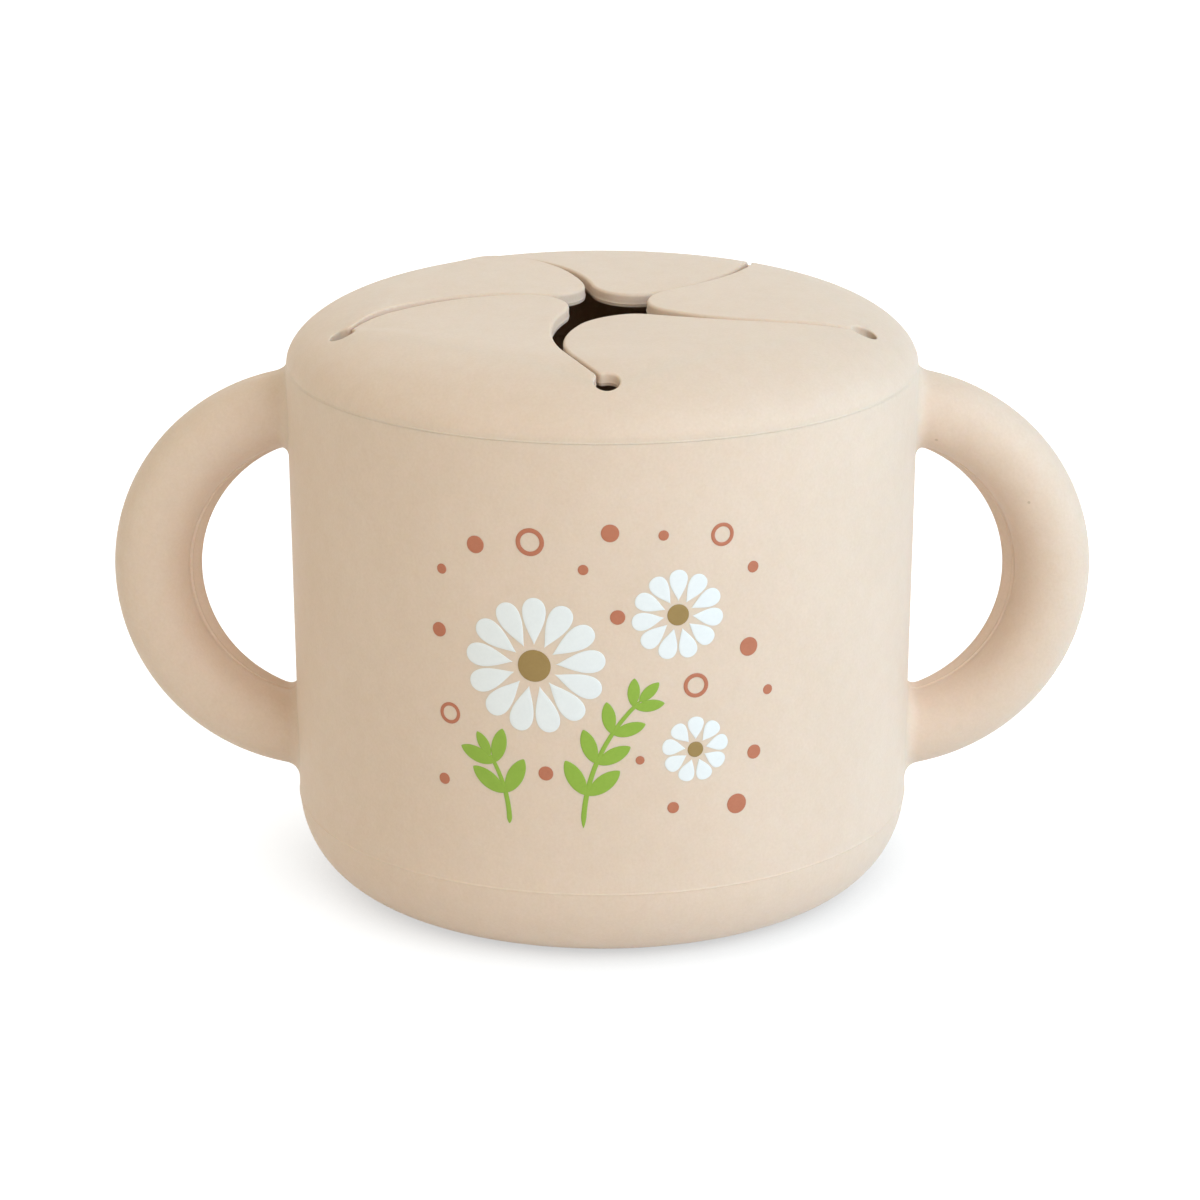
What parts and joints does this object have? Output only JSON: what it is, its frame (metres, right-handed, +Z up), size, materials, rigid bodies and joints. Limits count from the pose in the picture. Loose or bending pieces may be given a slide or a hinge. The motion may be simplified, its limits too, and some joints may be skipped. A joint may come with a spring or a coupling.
{
  "type": "toddler snack cup",
  "caption": "Soft two-handled silicone snack cup for a toddler with a domed lid whose curved slits form springy finger flaps and a printed flower pattern on the front.",
  "frame": {"origin": "centre of the cup's flat base, on the surface it stands on", "axes": "+X towards the right handle, -Y towards the printed front, +Z up through the lid"},
  "size_m": [0.1382, 0.088, 0.0832],
  "materials": {
    "silicone": "matte beige silicone",
    "ink_white": "matte white silicone ink",
    "ink_ochre": "matte ochre silicone ink",
    "ink_green": "matte green silicone ink",
    "ink_terracotta": "matte terracotta silicone ink"
  },
  "bodies": {
    "cup": {"cup_bowl": "silicone", "handle_left": "silicone", "handle_right": "silicone", "print_petals": "ink_white", "print_centres": "ink_ochre", "print_leaves": "ink_green", "print_berries": "ink_terracotta"},
    "lid": {"lid_rim": "silicone"},
    "flap_1": {"flap_1": "silicone"},
    "flap_2": {"flap_2": "silicone"},
    "flap_3": {"flap_3": "silicone"},
    "flap_4": {"flap_4": "silicone"},
    "flap_5": {"flap_5": "silicone"}
  },
  "joints": [
    {"name": "lid_lift", "type": "slide", "parent": "cup", "child": "lid", "axis": [0, 0, 1], "range_m": [0, 0.05]},
    {"name": "flap_1_bend", "type": "hinge", "parent": "lid", "child": "flap_1", "pos_m": [0.01812, -0.02413, 0.0804], "axis": [-0.7997, -0.6004, 0], "range_deg": [-45, 75], "stiffness_Nm_per_rad": 0.02},
    {"name": "flap_2_bend", "type": "hinge", "parent": "lid", "child": "flap_2", "pos_m": [0.02855, 0.00978, 0.0804], "axis": [0.3239, -0.9461, 0], "range_deg": [-45, 75], "stiffness_Nm_per_rad": 0.02},
    {"name": "flap_3_bend", "type": "hinge", "parent": "lid", "child": "flap_3", "pos_m": [-0.00047, 0.03017, 0.0804], "axis": [0.9999, 0.0157, 0], "range_deg": [-45, 75], "stiffness_Nm_per_rad": 0.02},
    {"name": "flap_4_bend", "type": "hinge", "parent": "lid", "child": "flap_4", "pos_m": [-0.02884, 0.00887, 0.0804], "axis": [0.294, 0.9558, 0], "range_deg": [-45, 75], "stiffness_Nm_per_rad": 0.02},
    {"name": "flap_5_bend", "type": "hinge", "parent": "lid", "child": "flap_5", "pos_m": [-0.01735, -0.02469, 0.0804], "axis": [-0.8181, 0.575, 0], "range_deg": [-45, 75], "stiffness_Nm_per_rad": 0.02}
  ]
}
